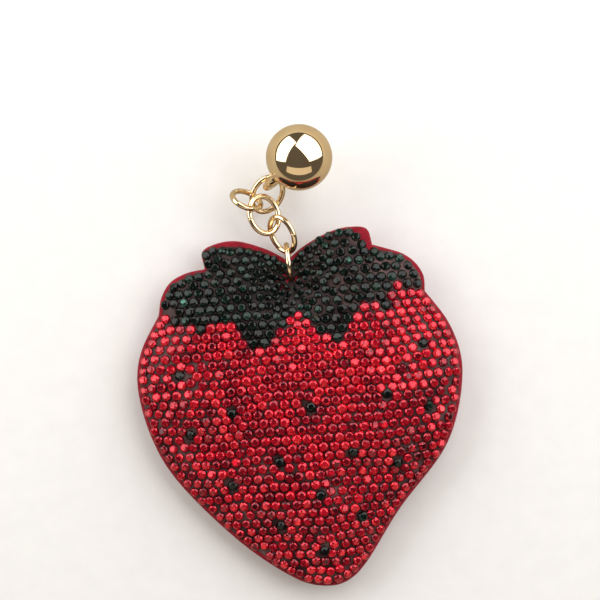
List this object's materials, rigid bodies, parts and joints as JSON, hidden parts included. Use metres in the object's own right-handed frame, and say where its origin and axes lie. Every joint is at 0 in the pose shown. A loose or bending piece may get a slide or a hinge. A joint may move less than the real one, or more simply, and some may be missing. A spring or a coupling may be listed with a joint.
{
  "type": "strawberry plush keychain",
  "caption": "Stuffed strawberry charm with crystals over its front, hung by a jump ring and a short chain from a key ring that a polished ball closes.",
  "frame": {"origin": "on the surface that the charm lies on, under the middle of its box", "axes": "+Z out of the charm's front, +Y from its tip towards the ball, +X to the right as seen from the front"},
  "size_m": [0.0952, 0.1338, 0.0311],
  "materials": {
    "suede": "short-nap suede cloth",
    "fibre": "loose polyester filling",
    "thread": "twisted sewing thread",
    "film": "hot-melt adhesive film",
    "red_crystal": "faceted, foiled back",
    "green_crystal": "faceted, foiled back",
    "gold": "polished light gold plating",
    "brass": "plain turned brass"
  },
  "bodies": {
    "pad": {"back_panel": "suede", "front_panel": "suede", "stuffing": "fibre", "seam_thread": "thread", "crystal_film": "film", "berry_crystals": "red_crystal", "leaf_crystals": "green_crystal", "seed_crystal_01": "green_crystal", "seed_crystal_02": "green_crystal", "seed_crystal_03": "green_crystal", "seed_crystal_04": "green_crystal", "seed_crystal_05": "green_crystal", "seed_crystal_06": "green_crystal", "seed_crystal_07": "green_crystal", "seed_crystal_08": "green_crystal", "seed_crystal_09": "green_crystal", "seed_crystal_10": "green_crystal", "seed_crystal_11": "green_crystal", "seed_crystal_12": "green_crystal", "seed_crystal_13": "green_crystal", "seed_crystal_14": "green_crystal", "seed_crystal_15": "green_crystal"},
    "jump_ring": {"jump_ring": "gold"},
    "link_1": {"link_1": "gold"},
    "link_2": {"link_2": "gold"},
    "link_3": {"link_3": "gold"},
    "link_4": {"link_4": "gold"},
    "key_ring": {"key_ring": "gold", "ball_half_upper": "gold", "ball_half_lower": "gold", "ball_sleeve": "brass"}
  },
  "joints": [
    {"name": "jump_ring_turn", "type": "hinge", "parent": "pad", "child": "jump_ring", "pos_m": [-0.0033, 0.0277, 0.0064], "axis": [0.9925, 0.1219, 0], "range_deg": [-70, 60]},
    {"name": "link_1_swing", "type": "hinge", "parent": "jump_ring", "child": "link_1", "pos_m": [-0.00393, 0.03283, 0.00586], "axis": [-0.0127, 0.1037, 0.9945], "range_deg": [-16, 30]},
    {"name": "link_2_swing", "type": "hinge", "parent": "link_1", "child": "link_2", "pos_m": [-0.00869, 0.03799, 0.00697], "axis": [0.0135, -0.8504, -0.526], "range_deg": [-32, 32]},
    {"name": "link_3_swing", "type": "hinge", "parent": "link_2", "child": "link_3", "pos_m": [-0.0113, 0.04691, 0.00845], "axis": [-0.96, -0.0524, 0.2749], "range_deg": [-12, 15]},
    {"name": "link_4_swing", "type": "hinge", "parent": "link_3", "child": "link_4", "pos_m": [-0.01214, 0.04614, 0.00571], "axis": [-0.4963, 0.5974, -0.6299], "range_deg": [-40, 40]},
    {"name": "key_ring_swing", "type": "hinge", "parent": "link_4", "child": "key_ring", "pos_m": [-0.01014, 0.05212, 0.00834], "axis": [-0.9071, -0.4206, 0.0174], "range_deg": [-30, 15]}
  ]
}
